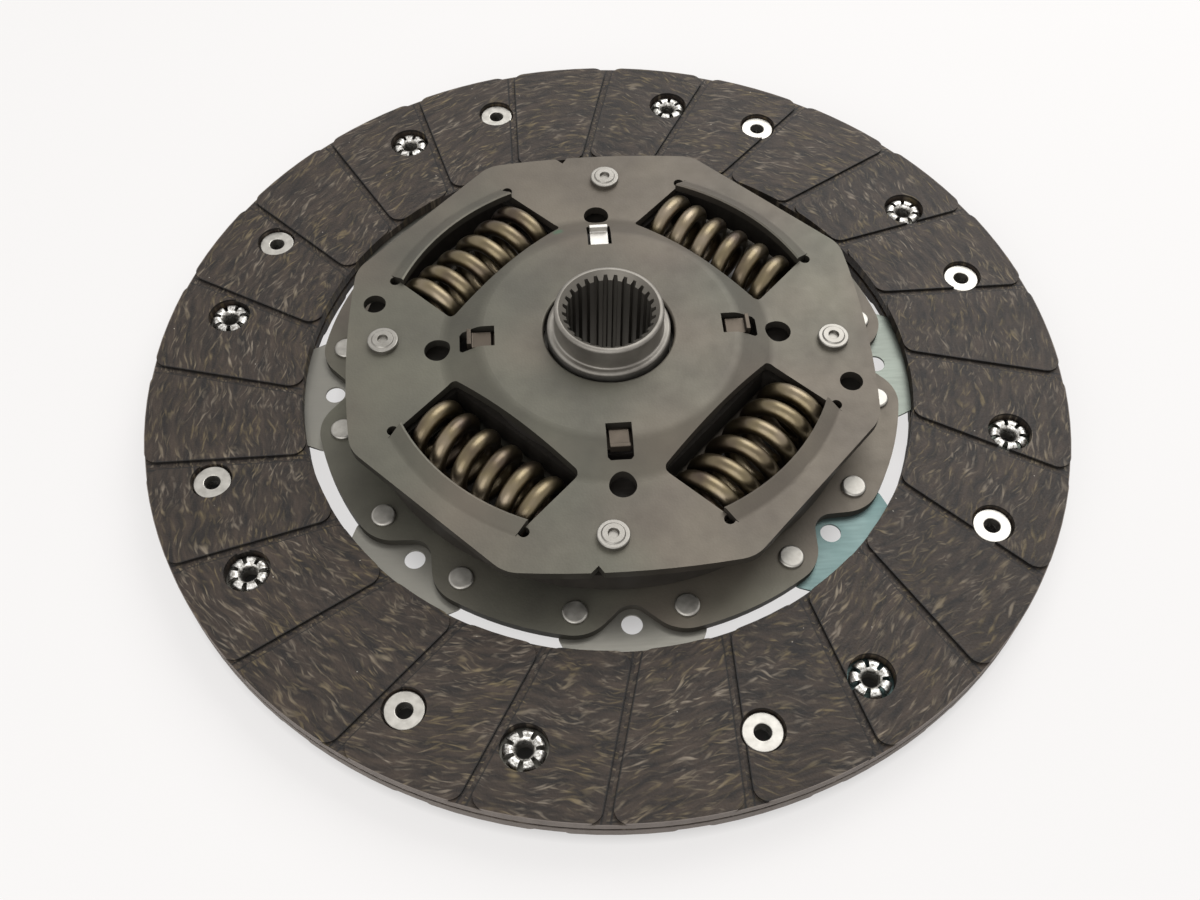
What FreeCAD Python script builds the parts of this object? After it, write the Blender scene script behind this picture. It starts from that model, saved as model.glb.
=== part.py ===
import FreeCAD, Part
import math
import os

# Clutch disc of a passenger car, about 240 mm across, with a torsion damper.
# Millimetres. The disc's axis is Z and the gearbox side faces up.
# The origin is on the axis at the flywheel-side end of the hub, the lowest point.

os.makedirs("parts", exist_ok=True)
Vec = FreeCAD.Vector
Z_AXIS = Vec(0, 0, 1)
CENTRE = Vec(0, 0, 0)

# Hub and its spline
hub_length = 37.2
spline_count = 28
spline_minor_r = 10.7
spline_deep = 1.0
spline_chamfer = 0.9
spline_major_r = spline_minor_r + spline_deep
hub_wall = 1.15
hub_nose_r = spline_major_r + spline_chamfer + hub_wall
hub_nose_long = 6.7
hub_tail_r = hub_nose_r - 0.15
hub_tail_long = 6.0
hub_collar_step = 1.85
hub_collar_r = hub_nose_r + hub_collar_step

# Teeth between hub and flange, with the play of the idle stage
tooth_count = 12
tooth_step = 1.8
tooth_high = 2.0
tooth_root_r = hub_collar_r + tooth_step
tooth_tip_r = tooth_root_r + tooth_high
tooth_tip_room = 0.3
tooth_half_deg = 5.4
idle_play_drive_deg = 5.0
idle_play_coast_deg = 3.0
play_room_deg = 0.45

# Idle stage
idle_plate_thick = 1.2
idle_plate_room = 0.05
idle_spring_outer_r = 2.6
idle_spring_wire = 0.9
idle_spring_half_long = 5.0
idle_spring_sink = 1.4
idle_spring_active_turns = 4.0
idle_spring_room = 0.2
idle_web = 1.5
idle_plate_rim = 1.1
idle_spring_place_r = tooth_tip_r + tooth_tip_room + idle_web + idle_spring_room + idle_spring_outer_r
idle_plate_r = idle_spring_place_r + idle_spring_outer_r + idle_spring_room + idle_plate_rim

# Friction stage
run_gap = 0.05
bush_wall = 2.35
bush_room = 0.1
bush_flange_wide = 3.4
bush_below = 0.7
drive_hole_r = hub_collar_r + run_gap + bush_wall + bush_room
bush_flange_r = drive_hole_r + bush_flange_wide
friction_ring_room = 0.7
friction_ring_wide = 4.8
friction_ring_thick = 2.5
friction_ring_inner_r = idle_plate_r + friction_ring_room
friction_ring_outer_r = friction_ring_inner_r + friction_ring_wide
lower_ring_room = 1.5
lower_ring_wide = 10.0
lower_ring_inner_r = bush_flange_r + lower_ring_room
lower_ring_outer_r = lower_ring_inner_r + lower_ring_wide
disc_spring_thick = 1.1
disc_spring_wide = 10.6
disc_spring_outer_r = friction_ring_outer_r - 0.8
disc_spring_inner_r = disc_spring_outer_r - disc_spring_wide

# Slots in the retaining plate, and the support ring's tabs that stand in them
slot_room = 0.2
slot_long = 9.0
slot_wide = 6.3
slot_inner_r = friction_ring_inner_r + slot_room
slot_outer_r = slot_inner_r + slot_long
support_thick = 1.1
support_wide = 8.2
support_outer_r = slot_inner_r - 0.6
support_inner_r = support_outer_r - support_wide
tab_wide = 4.7
tab_step_r = slot_inner_r + 1.6
tab_gap = 2.0
tab_inner_r = slot_outer_r - tab_gap - support_thick
tab_sink = 1.5
tab_rise = 0.2

# Main springs
spring_wire = 4.4
spring_outer_r = 10.1
spring_end_gap = 0.1
spring_room = 0.3
spring_active_turns = 4.4
spring_web = 0.8
window_margin = 1.3
spring_place_r = friction_ring_outer_r + 2 * spring_web + window_margin + spring_outer_r

# Spring windows, alike in both plates
damper_count = 4
window_half_long = 21.0
window_inner = spring_place_r - spring_outer_r - window_margin
window_outer_margin = 0.5
window_outer_r = spring_place_r + spring_outer_r + window_outer_margin
lip_wide = 4.3
lip_rise = 2.0
lip_root_r = window_outer_r + lip_wide
relief_hole_r = 1.4
relief_hole_place_r = lip_root_r - 1.7

# Stop pins
pin_out = 0.4
pin_place_r = window_outer_r + pin_out
pin_lag_deg = 3.4
pin_body_r = 3.65
pin_shank_r = 2.75
pin_head_r = 3.9
pin_head_high = 1.8
pin_tail_high = 1.5

# Hub flange
flange_thick = 7.0
flange_window_inner = window_inner - spring_web
flange_window_outer_r = window_outer_r + 3.8
flange_rim_wide = 4.2
flange_outer_r = flange_window_outer_r + flange_rim_wide
flange_slot_room = 0.1
stop_half_deg = 8.75

# Retaining plate
plate_gap = 11.5
retaining_thick = 2.5
retaining_pin_rim = 9.2
retaining_window_rim = 4.9
retaining_pin_side_r = pin_place_r + retaining_pin_rim
retaining_window_side_r = lip_root_r + retaining_window_rim
retaining_corner_deg = 24.0
retaining_corner_r = 9.0
dish_rise = 4.8
dish_slope = 9.0
dish_room = 0.9
dish_top_r = friction_ring_outer_r - 0.4
dish_foot_r = dish_top_r + dish_slope
dish_hole_r = hub_collar_r + dish_room
dish_bend_r = 5.0
tooling_hole_r = 3.35
tooling_hole_place_r = slot_outer_r + 5.8
side_hole_r = 2.9
side_hole_place_r = retaining_window_side_r - 4.2
side_hole_deg = (164.6, -16.0)
edge_notch_deg = (97.0, 263.5)
edge_notch_deep = 1.6
edge_notch_half = 1.3

# Drive plate
drive_thick = 2.3
drive_rim = 15.0
drive_outer_r = lip_root_r + drive_rim
scallop_r = 4.5
scallop_deep = 8.3
scallop_bottom_r = drive_outer_r - scallop_deep
lobe_corner_r = 10.0
lobe_corner_deg = 11.5

# Solid rivets that hold the segments under the drive plate
segment_rivet_edge = 5.85
segment_rivet_place_r = drive_outer_r - segment_rivet_edge
segment_rivet_deg = 10.8
segment_rivet_shank_r = 2.0
segment_rivet_head_r = 3.1
segment_rivet_head_high = 1.0

# Friction facings
drive_to_facing = 3.7
facing_wide = 40.0
facing_inner_r = drive_outer_r + drive_to_facing
facing_outer_r = facing_inner_r + facing_wide
facing_thick = 3.0
facing_bottom_z = 4.0
cushion_gap = 1.2
groove_count = 24
groove_wide = 2.0
groove_deep = 0.75
groove_offset = 21.3
pad_corner_r = 3.5

# Cushion segments, one wavy leaf of spring steel for each eighth of the disc
segment_count = 8
segment_thick = 0.6
segment_tongue = 10.3
segment_inner_r = drive_outer_r - segment_tongue
segment_outer_r = facing_outer_r - 1.5
segment_side = 4.2
segment_base_half = segment_rivet_place_r * math.sin(math.radians(segment_rivet_deg)) + segment_side
segment_neck_r = facing_inner_r + 0.2
segment_neck_step = 2.5
segment_neck_half = segment_base_half - segment_neck_step
segment_blade_r = facing_inner_r + 7.0
segment_blade_half_deg = 21.9
segment_fold_near = segment_base_half + 0.8
segment_fold_far = segment_fold_near + 2.4
segment_hole_r = 2.55
segment_hole_place_r = scallop_bottom_r + 4.0

# Tubular rivets that hold the facings
facing_rivet_edge = 15.4
facing_rivet_place_r = facing_outer_r - facing_rivet_edge
facing_rivet_deg = 14.65
facing_rivet_tube_r = 2.6
facing_rivet_wall = 0.6
facing_rivet_head_r = 4.75
facing_rivet_head_thick = 0.9
facing_web = 0.9
facing_sink_r = facing_rivet_head_r + 0.45
tail_curl_r = 1.5
facing_clear_r = facing_rivet_tube_r - facing_rivet_wall + 2 * tail_curl_r + 0.6
tail_slot_count = 7
tail_slot_wide = 0.8

# Levels along the axis, worked out from the sizes above
facing_mid_z = facing_bottom_z + facing_thick + cushion_gap / 2
facing_top_z = facing_bottom_z + 2 * facing_thick + cushion_gap
segment_mid_z = facing_mid_z
wave = (cushion_gap - segment_thick) / 2
drive_bottom_z = segment_mid_z + segment_thick / 2
drive_top_z = drive_bottom_z + drive_thick
retaining_bottom_z = drive_top_z + plate_gap
retaining_top_z = retaining_bottom_z + retaining_thick
damper_z = (drive_top_z + retaining_bottom_z) / 2
flange_bottom_z = damper_z - flange_thick / 2
flange_top_z = damper_z + flange_thick / 2
dish_bottom_z = retaining_bottom_z + dish_rise
dish_top_z = retaining_top_z + dish_rise
window_step = 360.0 / damper_count
window_first = window_step / 2
segment_step = 360.0 / segment_count
drill_low = -hub_length
drill_high = 2 * hub_length


def polar(radius, degrees, height=0.0):
    """A point from its radius, angle and height."""
    angle = math.radians(degrees)
    return Vec(radius * math.cos(angle), radius * math.sin(angle), height)


def turned(shape, degrees):
    """A copy turned about the disc's axis."""
    copy = shape.copy()
    copy.rotate(CENTRE, Z_AXIS, degrees)
    return copy


def around(shape, count, first=0.0):
    """Copies of a shape spaced evenly round the axis."""
    return [turned(shape, first + 360.0 * k / count) for k in range(count)]


def group(shapes):
    """Separate solids kept together in one node."""
    solids = []
    for shape in shapes:
        solids += shape.Solids
    return Part.makeCompound(solids)


def disc(radius, z_lo, z_hi, place=CENTRE):
    """A round bar along Z, used as a blank or a drill."""
    return Part.makeCylinder(radius, z_hi - z_lo, Vec(place.x, place.y, z_lo))


def ring(inner_r, outer_r, z_lo, z_hi):
    """A flat ring about the axis."""
    return disc(outer_r, z_lo, z_hi).cut(disc(inner_r, z_lo - 1, z_hi + 1))


def block(x_lo, x_hi, y_lo, y_hi, z_lo, z_hi):
    """A box from its lowest to its highest corner."""
    return Part.makeBox(x_hi - x_lo, y_hi - y_lo, z_hi - z_lo, Vec(x_lo, y_lo, z_lo))


def rounded_wire(corners):
    """A closed outline from corners (point, radius), each rounded by a tangent arc."""
    edges = []
    joints = []
    for k, (corner, radius) in enumerate(corners):
        before = corners[k - 1][0] - corner
        after = corners[(k + 1) % len(corners)][0] - corner
        before.normalize()
        after.normalize()
        half = before.getAngle(after) / 2
        reach = radius / math.tan(half)
        start = corner + before * reach
        end = corner + after * reach
        if radius > 0:
            bisector = before + after
            bisector.normalize()
            middle = corner + bisector * (radius / math.sin(half) - radius)
            edges.append(Part.Arc(start, middle, end).toShape())
        joints.append((start, end))
        if radius > 0:
            edges[-1] = (len(joints) - 1, edges[-1])
    ordered = []
    arcs = dict(edges)
    for k, (start, end) in enumerate(joints):
        if k in arcs:
            ordered.append(arcs[k])
        following = joints[(k + 1) % len(joints)][0]
        if end.distanceToPoint(following) > 1e-6:
            ordered.append(Part.LineSegment(end, following).toShape())
    return Part.Wire(ordered)


def turned_solid(corners):
    """A solid turned about Z from corners (radius, height, rounding)."""
    wire = rounded_wire([(Vec(r, 0, z), rounding) for r, z, rounding in corners])
    return Part.Face(wire).revolve(CENTRE, Z_AXIS, 360)


def prism(wire, z_lo, z_hi):
    """A flat outline at height 0 raised between two levels."""
    face = Part.Face(wire)
    face.translate(Vec(0, 0, z_lo))
    return face.extrude(Vec(0, 0, z_hi - z_lo))


def arc_about(centre, radius, start, end):
    """The shorter arc about a centre from one point to another."""
    middle = (start + end) * 0.5 - centre
    middle.normalize()
    return Part.Arc(start, centre + middle * radius, end).toShape()


def groove_tool():
    """One straight slanted groove whose pad corners open out round at both rims."""
    sides = {}
    for rim_r, inward in ((facing_outer_r, -1), (facing_inner_r, 1)):
        for side in (1, -1):
            across = groove_offset + side * (groove_wide / 2 + pad_corner_r)
            centre_r = rim_r + inward * pad_corner_r
            centre = Vec(math.sqrt(centre_r ** 2 - across ** 2), across, 0)
            flank = Vec(centre.x, groove_offset + side * groove_wide / 2, 0)
            rim = centre * (rim_r / centre_r)
            beyond = rim * (1 - inward * 0.03)
            sides[(inward, side)] = (centre, flank, rim, beyond)
    edges = []
    for inward, first, second in ((-1, 1, -1), (1, -1, 1)):
        centre, flank, rim, beyond = sides[(inward, first)]
        edges.append(arc_about(centre, pad_corner_r, flank, rim))
        edges.append(Part.LineSegment(rim, beyond).toShape())
        far_centre, far_flank, far_rim, far_beyond = sides[(inward, second)]
        edges.append(Part.LineSegment(beyond, far_beyond).toShape())
        edges.append(Part.LineSegment(far_beyond, far_rim).toShape())
        edges.append(arc_about(far_centre, pad_corner_r, far_rim, far_flank))
        edges.append(Part.LineSegment(far_flank, sides[(-inward, second)][1]).toShape())
    return prism(Part.Wire(edges), facing_top_z - groove_deep, facing_top_z + 1)


def facing():
    """The gearbox-side facing, with grooves, sunk rivet holes and clearance holes."""
    bottom = facing_top_z - facing_thick
    blank = ring(facing_inner_r, facing_outer_r, bottom, facing_top_z)
    seat = polar(facing_rivet_place_r, facing_rivet_deg)
    clear = polar(facing_rivet_place_r, -facing_rivet_deg)
    sink_z = bottom + facing_web
    tools = around(groove_tool(), groove_count)
    for tool in (
        disc(facing_rivet_tube_r + 0.1, bottom - 1, sink_z + 1, seat),
        disc(facing_sink_r, sink_z, facing_top_z + 1, seat),
        disc(facing_clear_r, bottom - 1, facing_top_z + 1, clear),
    ):
        tools += around(tool, segment_count)
    return blank.cut(tools)


def turned_over(shape):
    """A copy turned over about X through the middle of the facings."""
    copy = shape.copy()
    copy.rotate(Vec(0, 0, facing_mid_z), Vec(1, 0, 0), 180)
    return copy


def cushion_segment():
    """A leaf centred on +X: flat base, narrow neck, and a blade folded to touch both facings."""
    neck = segment_neck_r
    half = math.radians(segment_blade_half_deg)
    blade_side = segment_blade_r * math.sin(half)
    base_side = segment_base_half
    corners = []
    for side in (-1, 1):
        column = [
            (Vec(segment_inner_r, side * base_side, 0), 2.0),
            (Vec(segment_neck_r - 5.5, side * base_side, 0), 3.0),
            (Vec(neck, side * segment_neck_half, 0), 1.5),
            (Vec(segment_blade_r - 2.5, side * blade_side, 0), 3.0),
            (Vec(segment_outer_r + 4, side * (segment_outer_r + 4) * math.tan(half), 0), 0.0),
        ]
        corners += column if side == -1 else column[::-1]
    outline = prism(rounded_wire(corners), segment_mid_z - 3, segment_mid_z + 3)
    outline = outline.common(ring(segment_inner_r - 3, segment_outer_r, drill_low, drill_high))
    levels = [(-segment_outer_r, -wave), (-segment_fold_far, -wave), (-segment_fold_near, 0)]
    levels += [(segment_fold_near, 0), (segment_fold_far, wave), (segment_outer_r, wave)]
    lower = [Vec(0, y, segment_mid_z + rise - segment_thick / 2) for y, rise in levels]
    upper = [Vec(0, y, segment_mid_z + rise + segment_thick / 2) for y, rise in levels]
    strip = Part.Face(Part.makePolygon(lower + upper[::-1] + lower[:1]))
    leaf = strip.extrude(Vec(segment_outer_r + 10, 0, 0)).common(outline)
    drills = [disc(segment_hole_r, drill_low, drill_high, Vec(segment_hole_place_r, 0, 0))]
    for side in (-1, 1):
        rivet = polar(segment_rivet_place_r, side * segment_rivet_deg)
        drills.append(disc(segment_rivet_shank_r + 0.05, drill_low, drill_high, rivet))
        tube = polar(facing_rivet_place_r, side * facing_rivet_deg)
        drills.append(disc(facing_rivet_tube_r + 0.05, drill_low, drill_high, tube))
    return leaf.cut(drills)


def facing_rivet():
    """A tubular rivet with its head sunk in the gearbox-side facing and its split tail below."""
    sheet_bottom = segment_mid_z + wave - segment_thick / 2
    head_bottom = facing_top_z - facing_thick + facing_web
    head_top = head_bottom + facing_rivet_head_thick
    bore_r = facing_rivet_tube_r - facing_rivet_wall
    body = turned_solid([
        (bore_r, sheet_bottom - 0.3, 0),
        (bore_r, head_top, 0.25),
        (facing_rivet_head_r, head_top, 0.3),
        (facing_rivet_head_r, head_bottom, 0.15),
        (facing_rivet_tube_r, head_bottom, 0),
        (facing_rivet_tube_r, sheet_bottom - 0.3, 0),
    ])
    curl_centre_r = bore_r + tail_curl_r
    curl_z = sheet_bottom - 0.3 - (tail_curl_r - 0.55)
    arcs = []
    for radius in (tail_curl_r, tail_curl_r - facing_rivet_wall):
        start = Vec(curl_centre_r - radius, 0, curl_z)
        middle = Vec(curl_centre_r, 0, curl_z - radius)
        end = Vec(curl_centre_r + radius, 0, curl_z)
        arcs.append((start, Part.Arc(start, middle, end).toShape(), end))
    (outer_start, outer_arc, outer_end), (inner_start, inner_arc, inner_end) = arcs
    top = Vec(bore_r, 0, sheet_bottom - 0.3)
    top_out = Vec(facing_rivet_tube_r, 0, sheet_bottom - 0.3)
    wire = Part.Wire([
        outer_arc,
        Part.LineSegment(outer_end, inner_end).toShape(),
        inner_arc,
        Part.LineSegment(inner_start, top_out).toShape(),
        Part.LineSegment(top_out, top).toShape(),
        Part.LineSegment(top, outer_start).toShape(),
    ])
    tail = Part.Face(wire).revolve(CENTRE, Z_AXIS, 360)
    far_r = 2 * facing_rivet_head_r
    far_half = tail_slot_wide * 1.9
    slot = prism(Part.makePolygon([
        Vec(facing_rivet_tube_r, -tail_slot_wide / 2, 0),
        Vec(far_r, -far_half, 0),
        Vec(far_r, far_half, 0),
        Vec(facing_rivet_tube_r, tail_slot_wide / 2, 0),
        Vec(facing_rivet_tube_r, -tail_slot_wide / 2, 0),
    ]), curl_z - 2 * tail_curl_r, sheet_bottom - 0.1)
    tail = tail.cut(around(slot, tail_slot_count))
    rivet = body.fuse(tail).removeSplitter()
    rivet.translate(polar(facing_rivet_place_r, 0))
    return turned(rivet, facing_rivet_deg)


def segment_rivet():
    """A solid rivet through the drive plate and a segment's base."""
    low = segment_mid_z - segment_thick / 2
    rivet = turned_solid([
        (0, low - segment_rivet_head_high, 0),
        (segment_rivet_head_r, low - segment_rivet_head_high, 0.5),
        (segment_rivet_head_r, low, 0),
        (segment_rivet_shank_r, low, 0),
        (segment_rivet_shank_r, drive_top_z, 0),
        (segment_rivet_head_r, drive_top_z, 0),
        (segment_rivet_head_r, drive_top_z + segment_rivet_head_high, 0.6),
        (0, drive_top_z + segment_rivet_head_high, 0),
    ])
    rivet.translate(polar(segment_rivet_place_r, 0))
    return rivet


def spring_axis_tool(radius, half_long):
    """A bar along a main spring's axis, in the window centred on +X."""
    start = Vec(spring_place_r, -half_long, damper_z)
    return Part.makeCylinder(radius, 2 * half_long, start, Vec(0, 1, 0))


def window_lip(root_z_lo, root_z_hi, outward):
    """The turned-out edge of a window, curved over the spring: outward is +1 up or -1 down."""
    rise = outward * lip_rise
    band = turned_solid([
        (lip_root_r + 0.4, root_z_lo, 0),
        (lip_root_r + 0.4, root_z_hi, 0),
        (lip_root_r - 0.4, root_z_hi, 2.0),
        (window_outer_r + 0.5, root_z_hi + rise * 0.9, 0),
        (window_outer_r, root_z_hi + rise * 0.8, 0),
        (window_outer_r, root_z_lo + rise, 0),
        (lip_root_r - 0.4, root_z_lo, 2.0),
    ])
    reach = window_half_long - 0.15
    return band.common(block(window_inner, lip_root_r + 2, -reach, reach, drill_low, drill_high))


def with_windows(plate, z_lo, z_hi, outward):
    """A plate with its four spring windows, their lips and the relief holes at the lips' ends."""
    tall = (z_lo - 10, z_hi + 10)
    hole = block(window_inner, lip_root_r + 5, -window_half_long, window_half_long, *tall)
    corner_edges = [
        edge for edge in hole.Edges
        if abs(edge.tangentAt(edge.FirstParameter).z) > 0.9 and edge.CenterOfMass.x < window_inner + 1
    ]
    hole = hole.makeFillet(1.5, corner_edges).common(disc(lip_root_r, *tall))
    relief_deg = math.degrees(math.asin((window_half_long + 0.6) / relief_hole_place_r))
    tools = around(hole, damper_count, window_first)
    for side in (-1, 1):
        relief = disc(relief_hole_r, *tall, polar(relief_hole_place_r, side * relief_deg))
        tools += around(relief, damper_count, window_first)
    plate = plate.cut(tools)
    lip = window_lip(z_lo, z_hi, outward)
    plate = plate.fuse(around(lip, damper_count, window_first))
    room = spring_axis_tool(spring_outer_r + spring_room, window_half_long)
    return plate.cut(around(room, damper_count, window_first)).removeSplitter()


def crossing_tangent(centre_a, radius_a, centre_b, radius_b):
    """Touch points of the line that passes between two circles and touches both."""
    apart = centre_b - centre_a
    gap = apart.Length
    lean = math.degrees(math.acos((radius_a + radius_b) / gap))
    heading = math.degrees(math.atan2(apart.y, apart.x))
    touch_a = centre_a + polar(radius_a, heading + lean)
    touch_b = centre_b + polar(radius_b, heading + lean + 180)
    return touch_a, touch_b


def drive_plate_outline():
    """Eight round-cornered lobes with a scallop round each segment's hole."""
    notch = Vec(scallop_bottom_r + scallop_r, 0, 0)
    corner = polar(drive_outer_r - lobe_corner_r, lobe_corner_deg)
    notch_touch, corner_touch = crossing_tangent(notch, scallop_r, corner, lobe_corner_r)
    lobe_start = polar(drive_outer_r, lobe_corner_deg)
    lobe_end = polar(drive_outer_r, segment_step - lobe_corner_deg)
    edges = []
    for k in range(segment_count):
        start = Part.LineSegment(notch_touch, corner_touch).toShape()
        low = Vec(notch_touch.x, -notch_touch.y, 0)
        bottom = Vec(scallop_bottom_r, 0, 0)
        pieces = [
            Part.Arc(low, bottom, notch_touch).toShape(),
            start,
            arc_about(corner, lobe_corner_r, corner_touch, lobe_start),
            Part.Arc(lobe_start, polar(drive_outer_r, segment_step / 2), lobe_end).toShape(),
        ]
        mirror_corner = polar(drive_outer_r - lobe_corner_r, -lobe_corner_deg)
        flank = Vec(corner_touch.x, -corner_touch.y, 0)
        pieces_next = [
            arc_about(mirror_corner, lobe_corner_r, polar(drive_outer_r, -lobe_corner_deg), flank),
            Part.LineSegment(flank, low).toShape(),
        ]
        edges += [turned(edge, k * segment_step) for edge in pieces]
        edges += [turned(edge, (k + 1) * segment_step) for edge in pieces_next]
    return Part.Wire(edges)


def pin_places(height=0.0):
    """Centres of the four stop pins."""
    return [polar(pin_place_r, window_step * k - pin_lag_deg, height) for k in range(damper_count)]


def drive_plate():
    """The plate that carries the segments and the flywheel side of the damper."""
    plate = prism(drive_plate_outline(), drive_bottom_z, drive_top_z)
    drills = [disc(drive_hole_r, drill_low, drill_high)]
    for side in (-1, 1):
        rivet = polar(segment_rivet_place_r, side * segment_rivet_deg)
        drills += around(disc(segment_rivet_shank_r + 0.05, drill_low, drill_high, rivet), segment_count)
    drills += [disc(pin_shank_r + 0.05, drill_low, drill_high, place) for place in pin_places()]
    tooling = disc(tooling_hole_r, drill_low, drill_high, Vec(tooling_hole_place_r, 0, 0))
    drills += around(tooling, damper_count)
    return with_windows(plate.cut(drills), drive_bottom_z, drive_top_z, -1)


def retaining_plate():
    """The dished gearbox-side plate, eight-sided, with windows, slots and holes."""
    edge_r = facing_inner_r
    sheet = turned_solid([
        (dish_hole_r, dish_bottom_z, 0),
        (dish_hole_r, dish_top_z, 0.6),
        (dish_top_r, dish_top_z, dish_bend_r),
        (dish_foot_r, retaining_top_z, dish_bend_r),
        (edge_r, retaining_top_z, 0),
        (edge_r, retaining_bottom_z, 0),
        (dish_foot_r - 0.6, retaining_bottom_z, dish_bend_r),
        (dish_top_r - 0.6, dish_bottom_z, dish_bend_r),
    ])
    corners = []
    side_r = retaining_window_side_r / math.cos(math.radians(window_first - retaining_corner_deg))
    for k in range(damper_count):
        for side in (-1, 1):
            corners.append(polar(side_r, k * window_step + side * retaining_corner_deg))
    edges = []
    for k in range(damper_count):
        left, right = corners[2 * k], corners[2 * k + 1]
        after = corners[(2 * k + 2) % len(corners)]
        crest = polar(retaining_pin_side_r, k * window_step)
        edges.append(Part.Arc(left, crest, right).toShape())
        edges.append(Part.LineSegment(right, after).toShape())
    outline = prism(Part.Wire(edges), retaining_bottom_z - 1, dish_top_z + 1)
    uprights = [e for e in outline.Edges if abs(e.tangentAt(e.FirstParameter).z) > 0.9]
    outline = outline.makeFillet(retaining_corner_r, uprights)
    plate = sheet.common(outline)
    slot = block(slot_inner_r, slot_outer_r, -slot_wide / 2, slot_wide / 2, drill_low, drill_high)
    far_edges = [
        e for e in slot.Edges
        if abs(e.tangentAt(e.FirstParameter).z) > 0.9 and e.CenterOfMass.x > slot_outer_r - 1
    ]
    slot = slot.makeChamfer(0.7, far_edges)
    drills = around(slot, damper_count)
    tooling = disc(tooling_hole_r, drill_low, drill_high, Vec(tooling_hole_place_r, 0, 0))
    drills += around(tooling, damper_count)
    drills += [disc(pin_shank_r + 0.05, drill_low, drill_high, place) for place in pin_places()]
    for deg in side_hole_deg:
        drills.append(disc(side_hole_r, drill_low, drill_high, polar(side_hole_place_r, deg)))
    tip = retaining_pin_side_r - edge_notch_deep
    notch = prism(Part.makePolygon([
        Vec(tip, 0, 0),
        Vec(tip + 4 * edge_notch_deep, -4 * edge_notch_half, 0),
        Vec(tip + 4 * edge_notch_deep, 4 * edge_notch_half, 0),
        Vec(tip, 0, 0),
    ]), drill_low, drill_high)
    drills += [turned(notch, deg) for deg in edge_notch_deg]
    return with_windows(plate.cut(drills), retaining_bottom_z, retaining_top_z, 1)


def stop_pin():
    """A shouldered pin that spaces and ties the two plates, clenched at both ends."""
    head_top = retaining_top_z + pin_head_high
    tail_z = drive_bottom_z - pin_tail_high
    return turned_solid([
        (0, tail_z, 0),
        (pin_head_r, tail_z, 0.6),
        (pin_head_r, drive_bottom_z, 0),
        (pin_shank_r, drive_bottom_z, 0),
        (pin_shank_r, drive_top_z, 0),
        (pin_body_r, drive_top_z, 0),
        (pin_body_r, retaining_bottom_z, 0),
        (pin_shank_r, retaining_bottom_z, 0),
        (pin_shank_r, retaining_top_z, 0),
        (pin_head_r, retaining_top_z, 0),
        (pin_head_r, head_top - 0.35, 0.3),
        (2.9, head_top - 0.35, 0.1),
        (2.6, head_top, 0.1),
        (1.35, head_top, 0.1),
        (1.1, head_top - 0.9, 0.1),
        (0, head_top - 0.9, 0),
    ])


def coil_spring(wire, outer_r, length, active_turns):
    """A right-hand compression spring along Z with closed, ground ends, from 0 to length."""
    mean_r = outer_r - wire / 2
    turns = active_turns + 2
    grind = 0.35 * wire
    span = length + 2 * grind - wire
    steps_per_turn = 8
    count = int(turns * steps_per_turn)

    def ease(share):
        share = max(0.0, min(1.0, share))
        return share * share * (3 - 2 * share)

    # The end turns lie wire on wire, and the pitch opens smoothly to the active turns
    opening = [ease((min(t, turns - t) - 0.6) / 0.8)
               for t in ((k + 0.5) * turns / count for k in range(count))]
    closed_rise = wire * turns
    extra = (span - closed_rise) / (sum(opening) * turns / count)
    height = wire / 2 - grind
    points = [Vec(mean_r, 0, height)]
    for k in range(count):
        height += (wire + extra * opening[k]) * turns / count
        angle = 2 * math.pi * (k + 1) * turns / count
        points.append(Vec(mean_r * math.cos(angle), mean_r * math.sin(angle), height))
    curve = Part.BSplineCurve()
    curve.interpolate(points)
    path = Part.Wire(curve.toShape())
    section = Part.Wire(Part.makeCircle(wire / 2, points[0], curve.tangent(curve.FirstParameter)[0]))
    coil = path.makePipeShell([section], True, True)
    reach = outer_r + wire
    return coil.common(block(-reach, reach, -reach, reach, 0, length))


def laid_along(spring, place_r, height, length, degrees):
    """A spring laid along the tangent at a radius, its middle at an angle round the axis."""
    laid = spring.copy()
    laid.translate(Vec(0, 0, -length / 2))
    laid.rotate(CENTRE, Vec(1, 0, 0), -90)
    laid.translate(Vec(place_r, 0, height))
    return turned(laid, degrees)


def toothed_disc(root_r, tip_r, half_deg, z_lo, z_hi, shift_deg=0.0):
    """A disc with straight-flanked outer teeth."""
    shape = disc(root_r, z_lo, z_hi)
    flank_in = polar(root_r - 1, -half_deg - 0.6)
    tip_lo = polar(tip_r + 1, -half_deg + 0.3)
    outline = Part.makePolygon([
        flank_in,
        tip_lo,
        Vec(tip_lo.x, -tip_lo.y, 0),
        Vec(flank_in.x, -flank_in.y, 0),
        flank_in,
    ])
    tooth = prism(outline, z_lo, z_hi)
    shape = shape.fuse(around(tooth, tooth_count, shift_deg))
    return shape.common(disc(tip_r, z_lo, z_hi)).removeSplitter()


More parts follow.
